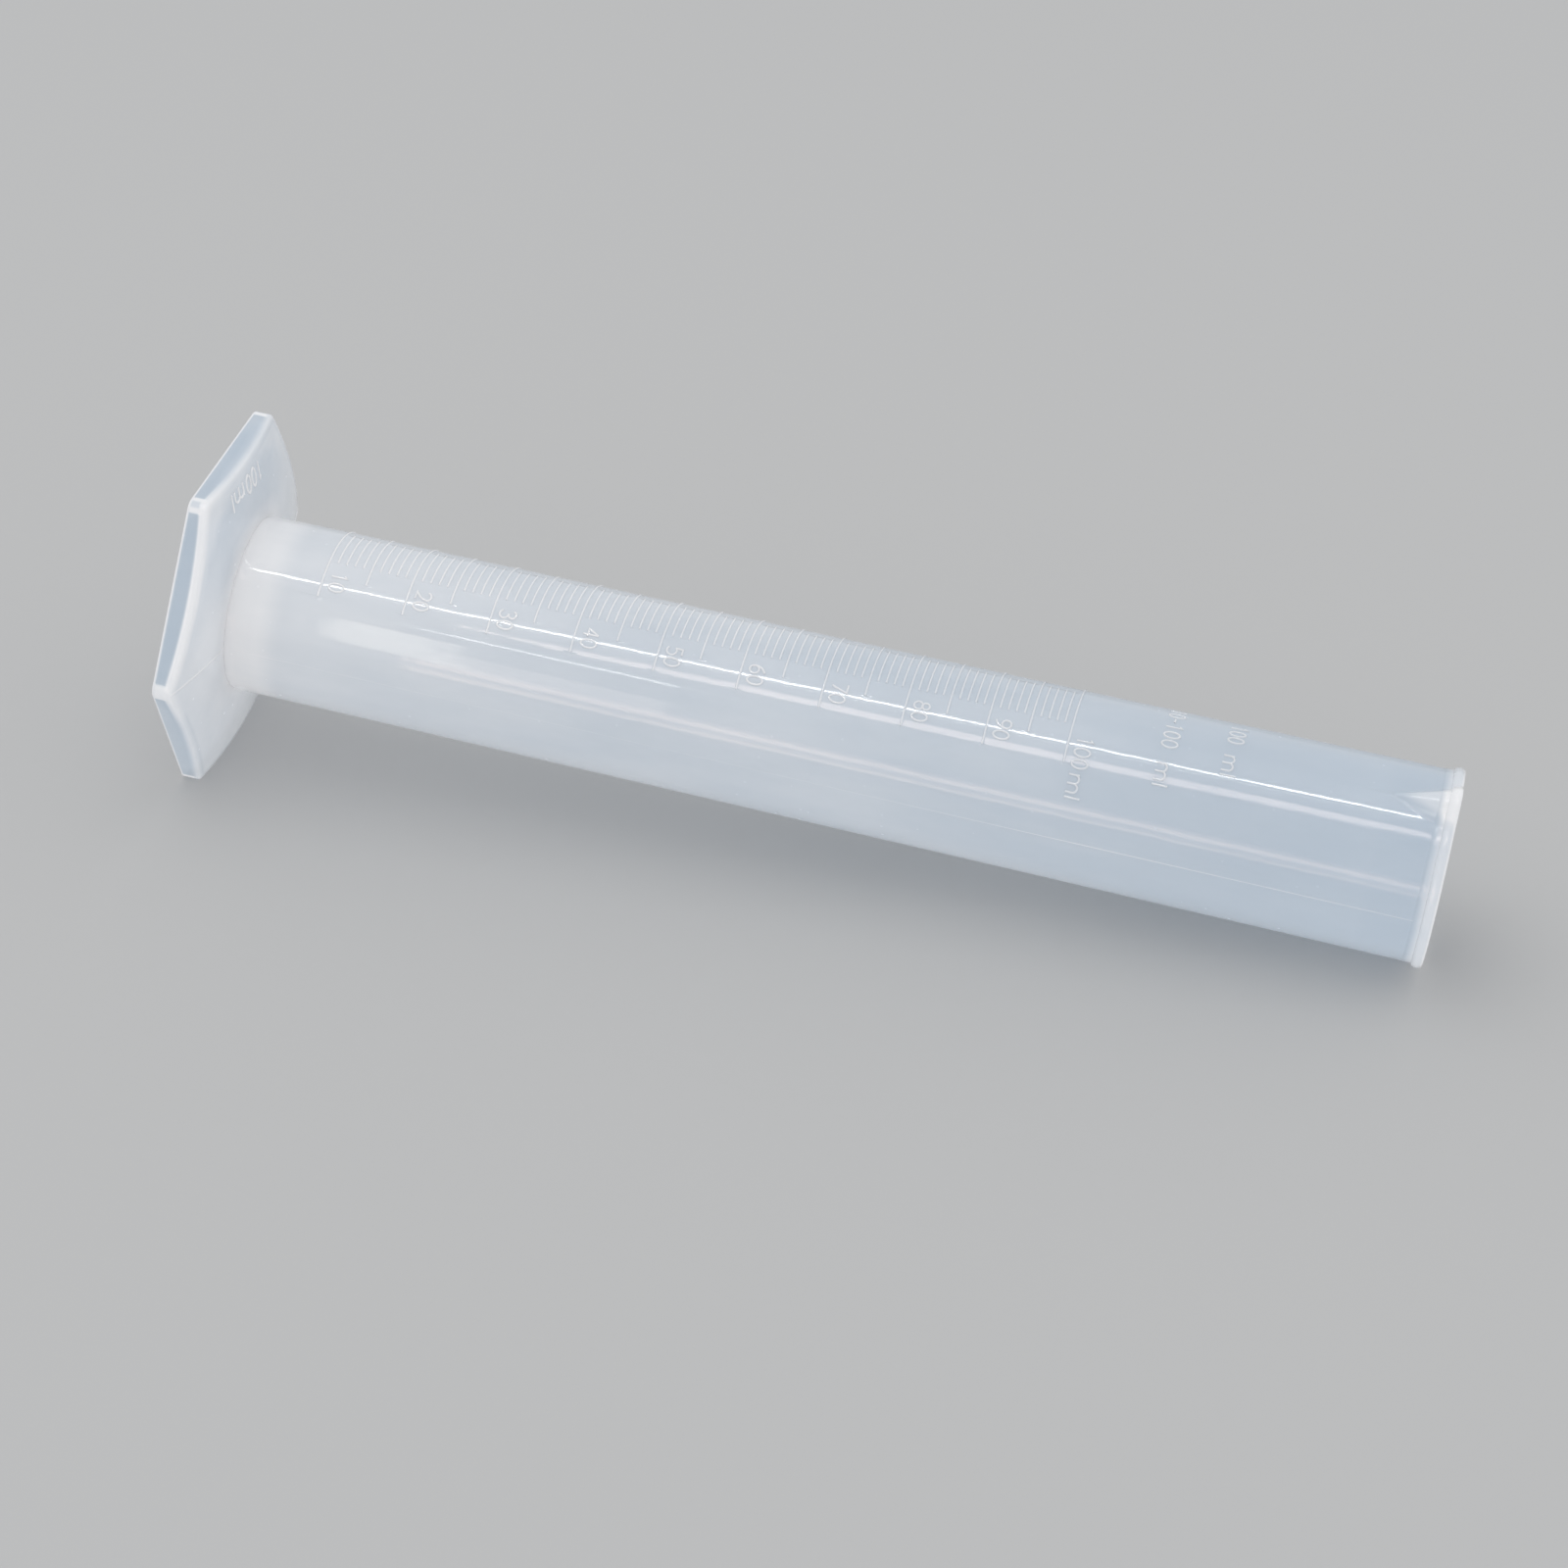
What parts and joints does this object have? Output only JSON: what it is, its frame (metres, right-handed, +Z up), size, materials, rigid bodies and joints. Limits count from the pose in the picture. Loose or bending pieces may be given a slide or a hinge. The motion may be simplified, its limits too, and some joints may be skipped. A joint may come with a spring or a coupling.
{
  "type": "rain gauge measuring cylinder",
  "caption": "Translucent plastic graduated measuring cylinder for a manual rain gauge: tapered tube with raised scale, rim bead and pouring spout, pressed on a hexagonal foot.",
  "frame": {"origin": "middle of the foot's underside, on the tube's axis", "axes": "+Z up the tube to the mouth, -Y towards the middle of the scale, +X towards a corner of the foot and the mould seam"},
  "size_m": [0.0658, 0.0576, 0.2186],
  "materials": {
    "tube_plastic": "natural translucent polypropylene, smooth and slightly glossy",
    "foot_plastic": "natural translucent polypropylene, smooth and slightly glossy"
  },
  "bodies": {
    "root": {"hex_foot": "foot_plastic", "measuring_tube": "tube_plastic"}
  },
  "joints": []
}
